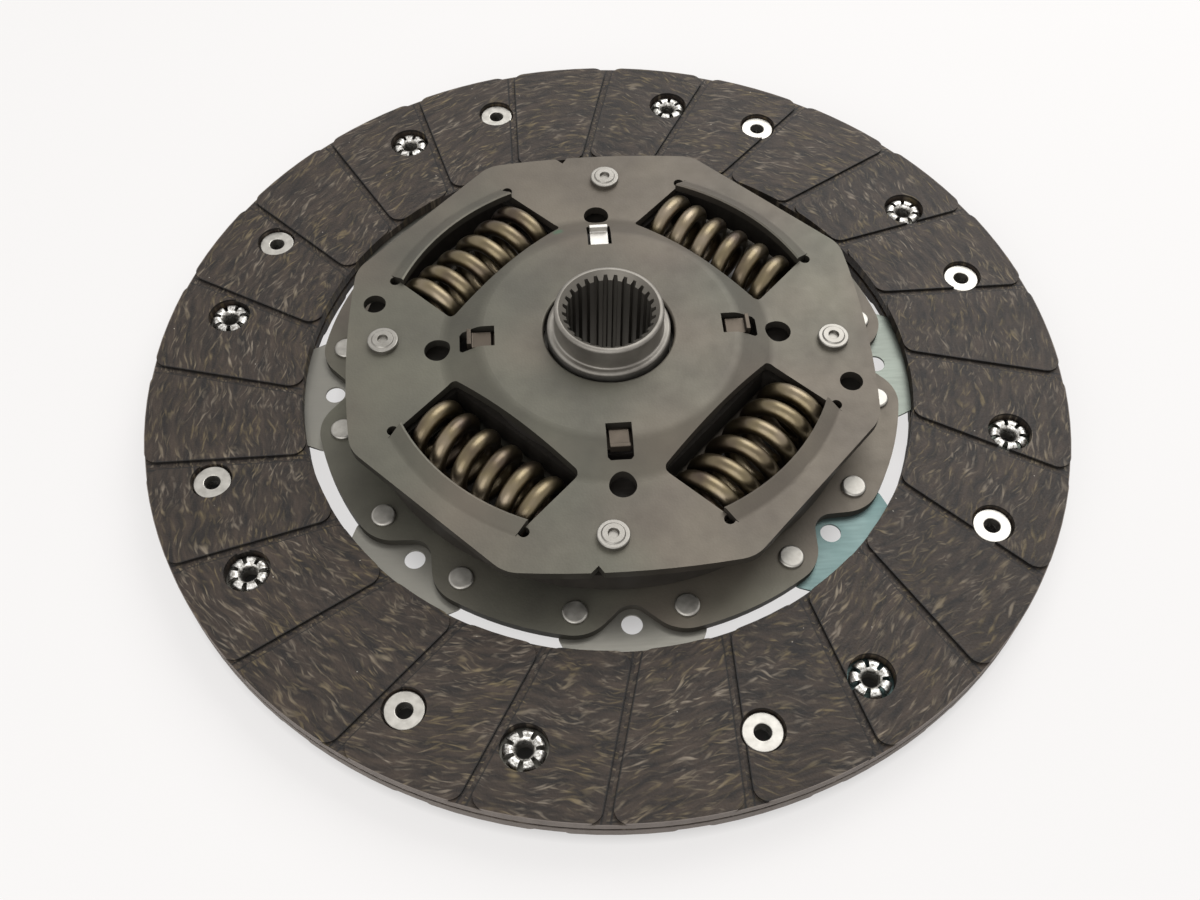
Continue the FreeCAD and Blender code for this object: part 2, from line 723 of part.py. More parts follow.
def hub_flange():
    """The thick plate between the springs, with pin slots, windows and inner teeth."""
    plate = disc(flange_outer_r, flange_bottom_z, flange_top_z)
    low, high = flange_bottom_z - 1, flange_top_z + 1
    window = block(flange_window_inner, flange_outer_r, -window_half_long, window_half_long, low, high)
    window = window.common(disc(flange_window_outer_r, low, high))
    slot_r = pin_body_r + flange_slot_room
    slot = ring(pin_place_r - slot_r, pin_place_r + slot_r, low, high)
    reach = flange_outer_r * math.tan(math.radians(stop_half_deg))
    wedge = prism(Part.makePolygon([
        CENTRE,
        Vec(flange_outer_r, -reach, 0),
        Vec(flange_outer_r, reach, 0),
        CENTRE,
    ]), low, high)
    slot = slot.common(wedge)
    for side in (-1, 1):
        slot = slot.fuse(disc(slot_r, low, high, polar(pin_place_r, side * stop_half_deg)))
    pocket = block(
        idle_spring_place_r - idle_spring_outer_r - idle_spring_room,
        idle_spring_place_r + idle_spring_outer_r + idle_spring_room,
        -idle_spring_half_long, idle_spring_half_long, low, high)
    # A gap between inner teeth takes one hub tooth and the play on both its sides
    play = idle_play_drive_deg + idle_play_coast_deg + 2 * play_room_deg
    shift = (idle_play_coast_deg - idle_play_drive_deg) / 2
    teeth = toothed_disc(
        tooth_root_r + tooth_tip_room, tooth_tip_r + tooth_tip_room,
        tooth_half_deg + play / 2, low, high, shift)
    tools = around(window, damper_count, window_first)
    tools += around(slot, damper_count)
    tools += around(pocket, damper_count, window_first)
    return plate.cut(tools + [teeth]).removeSplitter()


def spline_tool():
    """The splined hole: a bore at the tooth tips and one groove between each pair of teeth."""
    pitch = 360.0 / spline_count
    low, high = -1, hub_length + 1
    groove_in = polar(spline_minor_r - 0.5, pitch * 0.36)
    groove_out = polar(spline_major_r, pitch * 0.16)
    outline = Part.makePolygon([
        Vec(groove_in.x, -groove_in.y, 0),
        Vec(groove_out.x, -groove_out.y, 0),
        groove_out,
        groove_in,
        Vec(groove_in.x, -groove_in.y, 0),
    ])
    tool = disc(spline_minor_r, low, high)
    return tool.fuse(around(prism(outline, low, high), spline_count)).removeSplitter()


def hub():
    """The hub: a turned body with outer teeth and a splined bore."""
    collar_top = hub_length - hub_nose_long
    mouth_r = spline_major_r + spline_chamfer
    body = turned_solid([
        (spline_minor_r - 1, 0, 0),
        (hub_tail_r, 0, 0.6),
        (hub_tail_r, hub_tail_long, 0),
        (hub_collar_r, hub_tail_long + 1, 0),
        (hub_collar_r, collar_top, 0.8),
        (hub_nose_r, collar_top, 0.5),
        (hub_nose_r, hub_length, 0.9),
        (spline_minor_r - 1, hub_length, 0),
    ])
    teeth_top = flange_top_z + idle_plate_room + idle_plate_thick
    teeth = toothed_disc(tooth_root_r, tooth_tip_r, tooth_half_deg, flange_bottom_z, teeth_top)
    mouth = Part.makeCone(mouth_r, spline_minor_r, mouth_r - spline_minor_r)
    far_mouth = mouth.copy()
    far_mouth.rotate(Vec(0, 0, hub_length / 2), Vec(1, 0, 0), 180)
    body = body.fuse(teeth.cut(disc(spline_minor_r - 1, drill_low, drill_high)))
    return body.cut([spline_tool(), mouth, far_mouth]).removeSplitter()


def idle_plate():
    """The thin plate keyed on the hub's teeth that drives the idle springs."""
    low = flange_top_z + idle_plate_room
    high = low + idle_plate_thick
    keyed = toothed_disc(tooth_root_r + 0.05, tooth_tip_r + 0.05, tooth_half_deg + 0.2, low - 1, high + 1)
    pocket = block(
        idle_spring_place_r - idle_spring_outer_r - idle_spring_room,
        idle_spring_place_r + idle_spring_outer_r + idle_spring_room,
        -idle_spring_half_long, idle_spring_half_long, low - 1, high + 1)
    plate = disc(idle_plate_r, low, high)
    return plate.cut([keyed] + around(pocket, damper_count, window_first))


def diaphragm_spring():
    """A coned ring of spring steel between the friction ring and the support ring."""
    foot_z = flange_top_z + run_gap + friction_ring_thick
    crown_z = dish_bottom_z - support_thick
    return turned_solid([
        (disc_spring_inner_r, crown_z - disc_spring_thick, 0.3),
        (disc_spring_outer_r, foot_z, 0.3),
        (disc_spring_outer_r, foot_z + disc_spring_thick, 0.3),
        (disc_spring_inner_r, crown_z, 0.3),
    ])


def support_ring():
    """A ring under the dished plate whose four tabs stand up through the plate's slots."""
    low = dish_bottom_z - support_thick
    base = ring(support_inner_r, support_outer_r, low, dish_bottom_z)
    shelf_z = dish_top_z - tab_sink
    tab_outer_r = tab_inner_r + support_thick
    start_r = support_outer_r - 1
    outline = rounded_wire([
        (Vec(start_r, 0, low), 0),
        (Vec(tab_step_r - 0.9, 0, low), 0.5),
        (Vec(tab_step_r + 0.2, 0, shelf_z - support_thick), 0.5),
        (Vec(tab_outer_r, 0, shelf_z - support_thick), 0.8),
        (Vec(tab_outer_r, 0, dish_top_z + tab_rise), 0.2),
        (Vec(tab_inner_r, 0, dish_top_z + tab_rise), 0.2),
        (Vec(tab_inner_r, 0, shelf_z), 0.3),
        (Vec(tab_step_r - 0.6, 0, shelf_z), 0.3),
        (Vec(slot_inner_r + 0.4, 0, dish_bottom_z), 0.2),
        (Vec(start_r, 0, dish_bottom_z), 0),
    ])
    tab = Part.Face(outline).extrude(Vec(0, tab_wide, 0))
    tab.translate(Vec(0, -tab_wide / 2, 0))
    return base.fuse(around(tab, damper_count)).removeSplitter()


def centring_bush():
    """A plastic bush that centres the drive plate on the hub."""
    inner_r = hub_collar_r + run_gap
    outer_r = inner_r + bush_wall
    return turned_solid([
        (inner_r, drive_bottom_z - bush_below, 0.2),
        (outer_r, drive_bottom_z - bush_below, 0.3),
        (outer_r, drive_top_z, 0),
        (bush_flange_r, drive_top_z, 0.2),
        (bush_flange_r, flange_bottom_z - run_gap, 0.2),
        (inner_r, flange_bottom_z - run_gap, 0.2),
    ])


nodes = {}
gearbox_facing = facing()
nodes["facing_gearbox_side"] = gearbox_facing
nodes["facing_flywheel_side"] = turned_over(gearbox_facing)
leaf = cushion_segment()
for index, copy in enumerate(around(leaf, segment_count)):
    nodes["cushion_segment_%d" % (index + 1)] = copy
tube_rivet = facing_rivet()
nodes["facing_rivets_gearbox_side"] = group(around(tube_rivet, segment_count))
nodes["facing_rivets_flywheel_side"] = group(around(turned_over(tube_rivet), segment_count))
base_rivet = segment_rivet()
base_rivets = []
for side in (-1, 1):
    base_rivets += around(base_rivet, segment_count, side * segment_rivet_deg)
nodes["segment_rivets"] = group(base_rivets)
nodes["drive_plate"] = drive_plate()
nodes["retaining_plate"] = retaining_plate()
pin = stop_pin()
for index, place in enumerate(pin_places()):
    copy = pin.copy()
    copy.translate(place)
    nodes["stop_pin_%d" % (index + 1)] = copy
spring_long = 2 * (window_half_long - spring_end_gap)
main_spring = coil_spring(spring_wire, spring_outer_r, spring_long, spring_active_turns)
for index in range(damper_count):
    degrees = window_first + index * window_step
    nodes["main_spring_%d" % (index + 1)] = laid_along(
        main_spring, spring_place_r, damper_z, spring_long, degrees)
nodes["hub_flange"] = hub_flange()
nodes["hub"] = hub()
nodes["idle_plate"] = idle_plate()
idle_long = 2 * (idle_spring_half_long - spring_end_gap)
idle_spring = coil_spring(idle_spring_wire, idle_spring_outer_r, idle_long, idle_spring_active_turns)
for index in range(damper_count):
    degrees = window_first + index * window_step
    nodes["idle_spring_%d" % (index + 1)] = laid_along(
        idle_spring, idle_spring_place_r, flange_top_z - idle_spring_sink, idle_long, degrees)
ring_low = flange_top_z + run_gap
nodes["friction_ring_gearbox_side"] = ring(
    friction_ring_inner_r, friction_ring_outer_r, ring_low, ring_low + friction_ring_thick)
nodes["friction_ring_flywheel_side"] = ring(
    lower_ring_inner_r, lower_ring_outer_r, drive_top_z, flange_bottom_z - run_gap)
nodes["diaphragm_spring"] = diaphragm_spring()
nodes["support_ring"] = support_ring()
nodes["centring_bush"] = centring_bush()

for name, shape in nodes.items():
    print(name, len(shape.Solids), "solids", shape.isValid(), round(shape.Volume, 1), "mm3")
    if len(shape.Solids) == 1:
        shape = shape.Solids[0]
    shape.exportStep("parts/%s.step" % name)
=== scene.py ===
import math

import bpy
import numpy as np
from mathutils import Matrix, Vector


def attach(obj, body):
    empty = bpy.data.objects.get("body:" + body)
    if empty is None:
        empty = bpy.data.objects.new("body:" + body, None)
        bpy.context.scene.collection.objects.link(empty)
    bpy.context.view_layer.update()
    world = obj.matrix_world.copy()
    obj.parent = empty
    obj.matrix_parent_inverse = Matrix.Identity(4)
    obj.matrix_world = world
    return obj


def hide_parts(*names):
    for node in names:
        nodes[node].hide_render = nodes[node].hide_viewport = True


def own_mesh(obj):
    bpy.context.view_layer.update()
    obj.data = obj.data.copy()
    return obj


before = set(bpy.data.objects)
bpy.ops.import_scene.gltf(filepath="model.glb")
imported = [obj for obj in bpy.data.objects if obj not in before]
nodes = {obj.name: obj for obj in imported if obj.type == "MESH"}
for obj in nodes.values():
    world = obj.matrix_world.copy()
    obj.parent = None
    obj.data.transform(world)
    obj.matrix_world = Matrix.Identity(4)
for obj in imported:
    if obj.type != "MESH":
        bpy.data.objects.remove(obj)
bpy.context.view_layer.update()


# Friction facings: two rings of resin-bonded fibre, pressed and ground, 3 mm thick.
# Cured resin is near-black brown and dull, with pale curly glass and brass strands in it.
# Ground faces give a broad weak sheen. The grooves' edges and walls get painted shade, near black.
def linear(code):
    """Linear RGBA of an sRGB hex colour, by the usual sRGB curve on each channel."""
    parts = [int(code[k:k + 2], 16) / 255 for k in (0, 2, 4)]
    return tuple(p / 12.92 if p <= 0.04045 else ((p + 0.055) / 1.055) ** 2.4 for p in parts) + (1.0,)


def put(tree, node, **settings):
    """Sets properties and inputs of a node. An input goes by name, with _ for a space, or by its
    number, as in in1. It takes a value, or a link where the setting is another node's output."""
    for key, value in settings.items():
        if hasattr(node, key) and not key.startswith("in"):
            setattr(node, key, value)
            continue
        socket = node.inputs[int(key[2:])] if key[2:].isdigit() else node.inputs[key.replace("_", " ")]
        if isinstance(value, bpy.types.NodeSocket):
            tree.links.new(value, socket)
        else:
            socket.default_value = value


def add(tree, kind, stops=(), **settings):
    """Adds a node with its settings. Stops are a colour ramp's places and hex colours, in order."""
    node = tree.nodes.new("ShaderNode" + kind)
    if stops:
        ramp = node.color_ramp.elements
        for end in (0, -1):
            ramp[end].position = stops[end][0]
            ramp[end].color = linear(stops[end][1])
        for position, code in stops[1:-1]:
            ramp.new(position).color = linear(code)
    put(tree, node, **settings)
    return node


def finish_of(name):
    """A new material with its surface shader, and the piece's own coordinates in metres."""
    made = bpy.data.materials.new(name)
    made.use_nodes = True
    tree = made.node_tree
    tree.nodes.clear()
    shader = add(tree, "BsdfPrincipled")
    add(tree, "OutputMaterial", in0=shader.outputs[0])
    place = add(tree, "TexCoord").outputs["Object"]
    return made, tree, shader, place


def dress(material, *names):
    """Gives CAD nodes one material in place of the plain one."""
    for name in names:
        nodes[name].data.materials.clear()
        nodes[name].data.materials.append(material)


# Each groove's middle line lies beside the disc's centre. Heights of the ground face and of the
# groove's floor are above and below the cushion segments' middle, so they hold for both rings
outer_radius = 0.12
inner_radius = 0.08
mean_radius = (outer_radius + inner_radius) / 2
pads = 24.0
groove_side = 0.0213
groove_half = 0.001
cushion_level = 0.0076
ground_face = 0.0036
groove_floor = 0.00285
facing_resin, tree, shader, place = finish_of("ground_friction_resin")
xyz = add(tree, "SeparateXYZ", in0=place)
flat = add(tree, "CombineXYZ", in0=xyz.outputs[0], in1=xyz.outputs[1]).outputs[0]
radius = add(tree, "VectorMath", operation="LENGTH", in0=flat).outputs["Value"]
angle = add(tree, "Math", operation="ARCTAN2", in0=xyz.outputs[1], in1=xyz.outputs[0]).outputs[0]
# A pad's own place: across it as an arc at the mean radius, along the radius, and its number.
# A groove runs beside the radius, so its angle is the arcsine of its offset over the radius
slant = add(tree, "Math", operation="DIVIDE", in0=groove_side, in1=radius).outputs[0]
slant = add(tree, "Math", operation="ARCSINE", in0=slant).outputs[0]
pad_turn = math.radians(360 / pads)
pad_angle = add(tree, "Math", operation="SUBTRACT", in0=angle, in1=slant).outputs[0]
pad_count = add(tree, "Math", operation="DIVIDE", in0=pad_angle, in1=pad_turn).outputs[0]
pad_number = add(tree, "Math", operation="FLOOR", in0=pad_count).outputs[0]
pad_number = add(tree, "Math", operation="FLOORED_MODULO", in0=pad_number, in1=pads).outputs[0]
across = add(tree, "Math", operation="FLOORED_MODULO", in0=pad_angle, in1=pad_turn).outputs[0]
across = add(tree, "Math", operation="MULTIPLY", in0=across, in1=mean_radius).outputs[0]
pad_place = add(tree, "CombineXYZ", in0=across, in1=radius, in2=pad_number).outputs[0]
# Each pad's mat was laid at its own slant, and its strands curl by up to 3 mm in bends of 13 mm
pad_lean = add(tree, "TexWhiteNoise", noise_dimensions="1D", in1=pad_number).outputs["Value"]
pad_lean = add(tree, "MapRange", Value=pad_lean, To_Min=-0.35, To_Max=0.35).outputs[0]
pad_lean = add(tree, "CombineXYZ", in2=pad_lean).outputs[0]
pad_middle = (0.013, mean_radius, 0.0)
curl_reach = (0.005, 0.0058, 0.0)
laid = add(tree, "VectorRotate", rotation_type="EULER_XYZ", Vector=pad_place, Center=pad_middle,
           Rotation=pad_lean).outputs[0]
curl = add(tree, "TexNoise", Vector=laid, Scale=75.0, Detail=2.0).outputs["Color"]
curl = add(tree, "VectorMath", operation="SUBTRACT", in0=curl, in1=(0.5, 0.5, 0.5)).outputs[0]
curl = add(tree, "VectorMath", operation="MULTIPLY", in0=curl, in1=curl_reach).outputs[0]
curled = add(tree, "VectorMath", operation="ADD", in0=laid, in1=curl).outputs[0]
# Soft streaks of resin-wet fibre, 9 mm long and 2 mm wide
streaks_to_metre = (110.0, 480.0, 1.0)
streak = add(tree, "VectorMath", operation="MULTIPLY", in0=curled, in1=streaks_to_metre).outputs[0]
streak = add(tree, "TexNoise", Vector=streak, Scale=1.0, Detail=3.0, Roughness=0.6).outputs["Fac"]
resin = add(tree, "ValToRGB", in0=streak, stops=((0.36, "16110e"), (0.68, "3e342c"))).outputs[0]
# Bare strands on top of them, about 4.5 mm long and under 1 mm wide, in three layers that differ
# in their lean, their place in the noise and how many lie side by side in a metre. Real strands
# are finer, and these are as coarse as the picture needs to show them. They lie in patches two
# strands long and five strands wide
strands = []
strand_cover = 0.66
end_to_end = 220.0
patch_share = (0.45, 0.2, 1.0)
for lean, seed, fine in ((0.0, 0.0, 1050.0), (0.3, 0.7, 800.0), (-0.25, 1.9, 1350.0)):
    lay = add(tree, "Mapping", Vector=curled, Location=(seed, seed, 0.0),
              Rotation=(0.0, 0.0, lean)).outputs[0]
    lay = add(tree, "VectorMath", operation="MULTIPLY", in0=lay, in1=(end_to_end, fine, 1.0)).outputs[0]
    line = add(tree, "TexNoise", Vector=lay, Scale=1.0, Detail=1.5, Roughness=0.5).outputs["Fac"]
    line = add(tree, "MapRange", Value=line, From_Min=0.56, From_Max=0.74).outputs[0]
    patch = add(tree, "VectorMath", operation="MULTIPLY", in0=lay, in1=patch_share).outputs[0]
    patch = add(tree, "TexNoise", Vector=patch, Scale=1.0, Detail=3.0).outputs["Fac"]
    patch = add(tree, "MapRange", Value=patch, From_Min=0.44, From_Max=0.6, To_Min=0.05).outputs[0]
    strands.append(add(tree, "Math", operation="MULTIPLY", in0=line, in1=patch).outputs[0])
strand = add(tree, "Math", operation="MAXIMUM", in0=strands[0], in1=strands[1]).outputs[0]
strand = add(tree, "Math", operation="MAXIMUM", in0=strand, in1=strands[2]).outputs[0]
tint = add(tree, "TexNoise", Vector=pad_place, Scale=90.0, Detail=2.0).outputs["Fac"]
fibre = add(tree, "ValToRGB", in0=tint, stops=((0.42, "827354"), (0.62, "9b8f7f"))).outputs[0]
weight = add(tree, "Math", operation="MULTIPLY", in0=strand, in1=strand_cover).outputs[0]
mixed = add(tree, "Mix", data_type="RGBA", in0=weight, in6=resin, in7=fibre).outputs[2]
# Pale chips 0.3 mm across, at most one in a cell of 3.5 mm, and only in a third of the cells
chip = add(tree, "TexVoronoi", Vector=curled, Scale=285.0)
chip_near = add(tree, "MapRange", Value=chip.outputs["Distance"], From_Min=0.03, From_Max=0.06,
                To_Min=0.75, To_Max=0.0).outputs[0]
chip_kept = add(tree, "SeparateXYZ", in0=chip.outputs["Color"]).outputs[0]
chip_kept = add(tree, "Math", operation="GREATER_THAN", in0=chip_kept, in1=0.66).outputs[0]
chip_near = add(tree, "Math", operation="MULTIPLY", in0=chip_near, in1=chip_kept).outputs[0]
mixed = add(tree, "Mix", data_type="RGBA", in0=chip_near, in6=mixed, in7=linear("b4ada1")).outputs[2]
# Pads differ a little in shade
pad_shade = add(tree, "TexWhiteNoise", noise_dimensions="1D", in1=pad_number).outputs["Value"]
pad_shade = add(tree, "MapRange", Value=pad_shade, To_Min=0.88, To_Max=1.12).outputs[0]
pad_shade = add(tree, "CombineColor", in0=pad_shade, in1=pad_shade, in2=pad_shade).outputs[0]
mixed = add(tree, "Mix", data_type="RGBA", blend_type="MULTIPLY", in0=1.0, in6=mixed,
            in7=pad_shade).outputs[2]
# Painted shade, near black, in a thin line along both edges of a groove: the distance from its middle line
# is the radius times the sine of the angle off it, less the groove's own offset
groove_angle = add(tree, "Math", operation="ROUND", in0=pad_count).outputs[0]
groove_angle = add(tree, "Math", operation="MULTIPLY", in0=groove_angle, in1=pad_turn).outputs[0]
off_groove = add(tree, "Math", operation="SUBTRACT", in0=angle, in1=groove_angle).outputs[0]
off_groove = add(tree, "Math", operation="SINE", in0=off_groove).outputs[0]
off_groove = add(tree, "Math", operation="MULTIPLY", in0=off_groove, in1=radius).outputs[0]
off_groove = add(tree, "Math", operation="SUBTRACT", in0=off_groove, in1=groove_side).outputs[0]
off_edge = add(tree, "Math", operation="ABSOLUTE", in0=off_groove).outputs[0]
off_edge = add(tree, "Math", operation="SUBTRACT", in0=off_edge, in1=groove_half).outputs[0]
off_edge = add(tree, "Math", operation="ABSOLUTE", in0=off_edge).outputs[0]
groove_shade = add(tree, "MapRange", Value=off_edge, From_Min=0.00016, From_Max=0.00034, To_Min=1.0,
           To_Max=0.0).outputs[0]
# The painted shade lies on the walls between a groove's floor and the ground face too, and not on rim and
# bore
rim_skin = 0.0002
groove_shade_cover = 0.85
height = add(tree, "Math", operation="SUBTRACT", in0=xyz.outputs[2], in1=cushion_level).outputs[0]
height = add(tree, "Math", operation="ABSOLUTE", in0=height).outputs[0]
wall = add(tree, "MapRange", Value=height, From_Min=ground_face - 0.00015, From_Max=ground_face - 0.00005,
           To_Min=1.0, To_Max=0.0).outputs[0]
above_floor = add(tree, "MapRange", Value=height, From_Min=groove_floor + 0.00001,
                  From_Max=groove_floor + 0.00005).outputs[0]
wall = add(tree, "Math", operation="MULTIPLY", in0=wall, in1=above_floor).outputs[0]
groove_shade = add(tree, "Math", operation="MAXIMUM", in0=groove_shade, in1=wall).outputs[0]
rim = add(tree, "Math", operation="GREATER_THAN", in0=radius, in1=outer_radius - rim_skin).outputs[0]
bore = add(tree, "Math", operation="LESS_THAN", in0=radius, in1=inner_radius + rim_skin).outputs[0]
rim_or_bore = add(tree, "Math", operation="MAXIMUM", in0=rim, in1=bore).outputs[0]
between = add(tree, "Math", operation="SUBTRACT", in0=1.0, in1=rim_or_bore).outputs[0]
groove_shade = add(tree, "Math", operation="MULTIPLY", in0=groove_shade, in1=between).outputs[0]
groove_shade = add(tree, "Math", operation="MULTIPLY", in0=groove_shade, in1=groove_shade_cover).outputs[0]
# The groove's painted shade goes in here as a near-black colour
mixed = add(tree, "Mix", data_type="RGBA", in0=groove_shade, in6=mixed, in7=linear("0d0b0a")).outputs[2]
# The rim wall is pressed, not ground, so it is paler, with blotches of 5 mm
blotch = add(tree, "TexNoise", Vector=curled, Scale=210.0, Detail=5.0, Roughness=0.65).outputs["Fac"]
rim_tone = add(tree, "Mix", data_type="RGBA", in0=blotch, in6=linear("5f5751"),
               in7=linear("857c75")).outputs[2]
mixed = add(tree, "Mix", data_type="RGBA", in0=rim, in6=mixed, in7=rim_tone).outputs[2]
# Grit marks of the grinding 0.6 mm apart, with the strands standing a little proud
grit = add(tree, "TexNoise", Vector=place, Scale=1800.0, Detail=3.0).outputs["Fac"]
relief = add(tree, "Math", operation="MULTIPLY_ADD", in0=strand, in1=0.5, in2=grit).outputs[0]
put(tree, shader, Base_Color=mixed, Specular_IOR_Level=0.35,
    Roughness=add(tree, "MapRange", Value=grit, To_Min=0.5, To_Max=0.75).outputs[0],
    Normal=add(tree, "Bump", Strength=0.5, Distance=0.0003, Height=relief).outputs[0])
dress(facing_resin, "facing_gearbox_side", "facing_flywheel_side")

# Cushion segments: eight leaves of 0.6 mm spring steel, stamped, hardened and tempered.
# Tempered bare strip is a satin grey with faint straw and blue-green clouds from the furnace.
# Two leaves in the batch took more colour: the first is greenish and the last is teal.
leaf_tones = (("60645e", "6b716a"), ("7c7a72", "807e76"), ("7a7870", "807e76"), ("7d7b73", "807e76"),
              ("787670", "807e76"), ("7c7a73", "807e76"), ("7a7871", "807e76"), ("435453", "5f6e6c"))
leaf_turn = math.radians(45)
for index, (straw, cloud_tone) in enumerate(leaf_tones):
    strip_steel, tree, shader, place = finish_of("tempered_strip_%d" % (index + 1))
    # Clouds of 18 mm, and scratches 6 mm long and 0.5 mm wide along X. The turn after the
    # stretch only takes each leaf to another part of the noise
    cloud = add(tree, "TexNoise", Vector=place, Scale=55.0, Detail=3.0).outputs["Fac"]
    scratch = add(tree, "Mapping", Vector=place, Rotation=(0.0, 0.0, leaf_turn * index),
                  Scale=(1.0, 12.0, 1.0)).outputs[0]
    scratch = add(tree, "TexNoise", Vector=scratch, Scale=160.0, Detail=4.0).outputs["Fac"]
    put(tree, shader, Metallic=1.0,
        Base_Color=add(tree, "ValToRGB", in0=cloud, stops=((0.3, straw), (0.75, cloud_tone))).outputs[0],
        Roughness=add(tree, "MapRange", Value=scratch, To_Min=0.32, To_Max=0.52).outputs[0],
        Normal=add(tree, "Bump", Strength=0.15, Distance=0.0001, Height=scratch).outputs[0])
    dress(strip_steel, "cushion_segment_%d" % (index + 1))

# Rivets: cold-headed mild steel, thin zinc on it, tumbled smooth before riveting.
# Dents of 2 mm from the setting tool and a soft grey-white sheen. The drive plate's are duller.
# A facing rivet's far end is split into petals, painted near-white: partly torn zinc over bare steel, partly
# painted light against the shade of the hole.
for name, far_end, dark, light in (("facing_rivets_gearbox_side", "LESS_THAN", "a3a099", "bab7b0"),
                                   ("facing_rivets_flywheel_side", "GREATER_THAN", "a3a099", "bab7b0"),
                                   ("segment_rivets", None, "8b8882", "a09d96")):
    rivet_zinc, tree, shader, place = finish_of("tumbled_zinc_" + name)
    dent = add(tree, "TexNoise", Vector=place, Scale=500.0, Detail=2.0).outputs["Fac"]
    toned = add(tree, "ValToRGB", in0=dent, stops=((0.3, dark), (0.7, light))).outputs[0]
    if far_end:
        # Tear marks 0.8 mm apart, between grey and a near-white that is partly painted light
        level = add(tree, "SeparateXYZ", in0=place).outputs[2]
        petals = add(tree, "Math", operation=far_end, in0=level, in1=cushion_level).outputs[0]
        tear = add(tree, "TexNoise", Vector=place, Scale=1300.0, Detail=3.0, Roughness=0.7).outputs["Fac"]
        tear = add(tree, "MapRange", Value=tear, From_Min=0.42, From_Max=0.58).outputs[0]
        torn_and_lit = add(tree, "Mix", data_type="RGBA", in0=tear, in6=linear("86837d"),
                   in7=linear("e3e1dc")).outputs[2]
        toned = add(tree, "Mix", data_type="RGBA", in0=petals, in6=toned, in7=torn_and_lit).outputs[2]
    put(tree, shader, Base_Color=toned, Metallic=1.0,
        Roughness=add(tree, "MapRange", Value=dent, To_Min=0.33, To_Max=0.48).outputs[0],
        Normal=add(tree, "Bump", Strength=0.3, Distance=0.0001, Height=dent).outputs[0])
    dress(rivet_zinc, name)

# Stop pins: turned steel, bright zinc, clenched at both ends.
# Zinc plate has a faint grey haze in clouds of 3 mm.
pin_zinc, tree, shader, place = finish_of("bright_zinc_pin")
haze = add(tree, "TexNoise", Vector=place, Scale=300.0, Detail=2.0).outputs["Fac"]
put(tree, shader, Metallic=1.0,
    Base_Color=add(tree, "ValToRGB", in0=haze, stops=((0.3, "7e7b75"), (0.7, "8f8c86"))).outputs[0],
    Roughness=add(tree, "MapRange", Value=haze, To_Min=0.36, To_Max=0.5).outputs[0])
dress(pin_zinc, "stop_pin_1", "stop_pin_2", "stop_pin_3", "stop_pin_4")

# Drive plate and retaining plate: pressed 2.3 and 2.5 mm steel sheet, phosphated and oiled.
# Phosphate is a fine warm-grey crystal coat, so the sheen is broad and slightly mottled.
# Oil leaves faint brown and green clouds. Painted shade darkens the punched walls.
paint_dab = (-0.0108, 0.0362, 0.0254)
for name, dark, light in (("retaining_plate", "54504a", "67635a"), ("drive_plate", "504c46", "656158")):
    phosphate, tree, shader, place = finish_of("oiled_phosphate_" + name)
    # Phosphate clouds of 26 mm under an oil film in clouds of 45 mm
    cloud = add(tree, "TexNoise", Vector=place, Scale=38.0, Detail=5.0, Roughness=0.55).outputs["Fac"]
    toned = add(tree, "ValToRGB", in0=cloud, stops=((0.33, dark), (0.7, light))).outputs[0]
    film = add(tree, "TexNoise", Vector=place, Scale=22.0, Detail=1.5).outputs["Fac"]
    film = add(tree, "MapRange", Value=film, From_Min=0.4, From_Max=0.6).outputs[0]
    film = add(tree, "Mix", data_type="RGBA", in0=film, in6=linear("fafff8"), in7=linear("fff8f3")).outputs[2]
    toned = add(tree, "Mix", data_type="RGBA", blend_type="MULTIPLY", in0=1.0, in6=toned,
                in7=film).outputs[2]
    # Faces that stand steep, the punched walls and edges, get painted shade, near black
    facing_up = add(tree, "SeparateXYZ", in0=add(tree, "TexCoord").outputs["Normal"]).outputs[2]
    facing_up = add(tree, "Math", operation="ABSOLUTE", in0=facing_up).outputs[0]
    wall_shade = add(tree, "MapRange", Value=facing_up, From_Min=0.15, From_Max=0.5, To_Min=0.7,
                  To_Max=0.0).outputs[0]
    toned = add(tree, "Mix", data_type="RGBA", in0=wall_shade, in6=toned, in7=linear("1f1b18")).outputs[2]
    if name == "retaining_plate":
        # A worn dab of green inspection paint beside one window, 3 mm across with a ragged edge
        ragged = 0.0022
        dab = add(tree, "VectorMath", operation="DISTANCE", in0=place, in1=paint_dab).outputs["Value"]
        worn = add(tree, "TexNoise", Vector=place, Scale=900.0, Detail=3.0).outputs["Fac"]
        dab = add(tree, "Math", operation="MULTIPLY_ADD", in0=worn, in1=ragged, in2=dab).outputs[0]
        dab = add(tree, "MapRange", Value=dab, From_Min=0.0018, From_Max=0.0034, To_Min=0.55,
                  To_Max=0.0).outputs[0]
        toned = add(tree, "Mix", data_type="RGBA", in0=dab, in6=toned, in7=linear("3f7a5c")).outputs[2]
    # Real crystals are finer than 0.1 mm. These are 0.7 mm, so that the mottle shows
    crystal = add(tree, "TexVoronoi", Vector=place, Scale=1500.0).outputs["Distance"]
    rub = add(tree, "TexNoise", Vector=place, Scale=260.0, Detail=4.0).outputs["Fac"]
    put(tree, shader, Base_Color=toned, Metallic=0.55,
        Roughness=add(tree, "MapRange", Value=rub, To_Min=0.45, To_Max=0.62).outputs[0],
        Normal=add(tree, "Bump", Strength=0.2, Distance=0.00008, Height=crystal).outputs[0])
    dress(phosphate, name)


